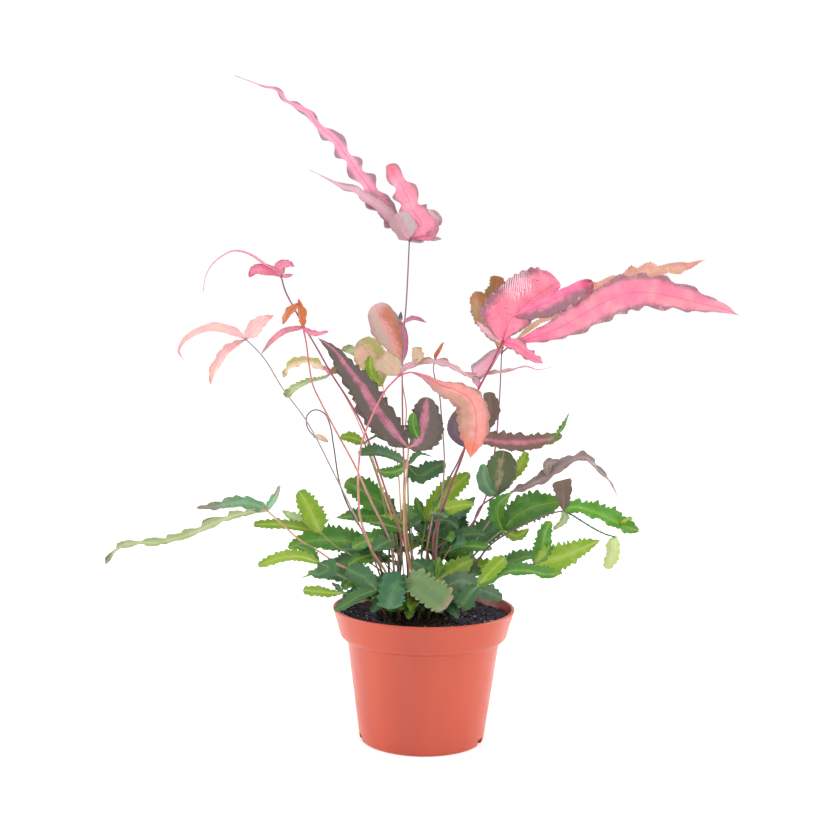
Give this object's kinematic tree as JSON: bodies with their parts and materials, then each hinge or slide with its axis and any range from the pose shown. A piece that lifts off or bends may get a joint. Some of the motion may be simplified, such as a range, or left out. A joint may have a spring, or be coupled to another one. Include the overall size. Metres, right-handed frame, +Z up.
{
  "type": "potted fern",
  "caption": "House fern in a round plastic nursery pot with soil, thin stalks and cut, waved pink, bronze and green fronds.",
  "frame": {"origin": "centre of the pot's underside, which is its resting face", "axes": "+Z up along the pot's axis; -Y is the side that the picture shows; the longest frond reaches towards +X"},
  "size_m": [0.3931, 0.1464, 0.4357],
  "materials": {
    "pot": "satin",
    "soil": "matte",
    "crown": "matte",
    "stalk_dark": "satin",
    "pink": "satin",
    "stalk_pink": "satin",
    "olive": "satin",
    "pale_pink": "satin",
    "salmon": "satin",
    "orange": "satin",
    "stalk_tan": "satin",
    "cream": "satin",
    "rust": "satin",
    "bronze": "satin",
    "grey": "satin",
    "green": "satin",
    "lime": "satin",
    "pale_green": "satin",
    "dark": "satin"
  },
  "bodies": {
    "root": {"pot": "pot", "soil": "soil", "crown": "crown", "pink_top_stalk": "stalk_dark", "pink_top_blade": "pink", "pink_right_stalk": "stalk_pink", "pink_right_blade": "pink", "olive_right_stalk": "stalk_dark", "olive_right_blade": "olive", "arched_left_stalk": "stalk_pink", "arched_left_blade": "pink", "pale_left_stalk": "stalk_dark", "pale_left_blade": "pale_pink", "salmon_arch_stalk": "stalk_pink", "salmon_arch_blade": "salmon", "orange_fold_stalk": "stalk_pink", "orange_fold_blade": "orange", "pale_band_stalk": "stalk_tan", "pale_band_blade": "cream", "centre_fold_stalk": "stalk_tan", "centre_fold_blade": "rust", "cream_centre_stalk": "stalk_tan", "cream_centre_blade": "cream", "bronze_left_stalk": "stalk_tan", "bronze_left_blade": "bronze", "bud_stalk": "stalk_tan", "bud_blade": "orange", "bronze_right_stalk": "stalk_dark", "bronze_right_blade": "bronze", "striped_stalk": "stalk_dark", "striped_blade": "bronze", "grey_right_stalk": "stalk_dark", "grey_right_blade": "grey", "bright_right_stalk": "stalk_dark", "bright_right_blade": "green", "lime_right_stalk": "stalk_dark", "lime_right_blade": "lime", "long_left_stalk": "stalk_tan", "long_left_blade": "pale_green", "loop_left_stalk": "stalk_dark", "loop_left_blade": "olive", "low_yellow_mid": "lime", "low_dark_mid": "dark", "low_lime_mid": "lime", "low_left_yellow": "lime", "low_left": "lime", "low_left_round": "lime", "low_left_green": "green", "low_left_mid": "green", "low_right_mid": "green", "low_right": "green", "low_front_pair": "dark", "low_front_right": "dark", "low_front_left": "dark", "low_centre_right": "dark", "low_back_right": "dark", "low_back_far_right": "green", "low_back": "dark", "low_back_left": "green", "low_back_far_left": "green"}
  },
  "joints": []
}
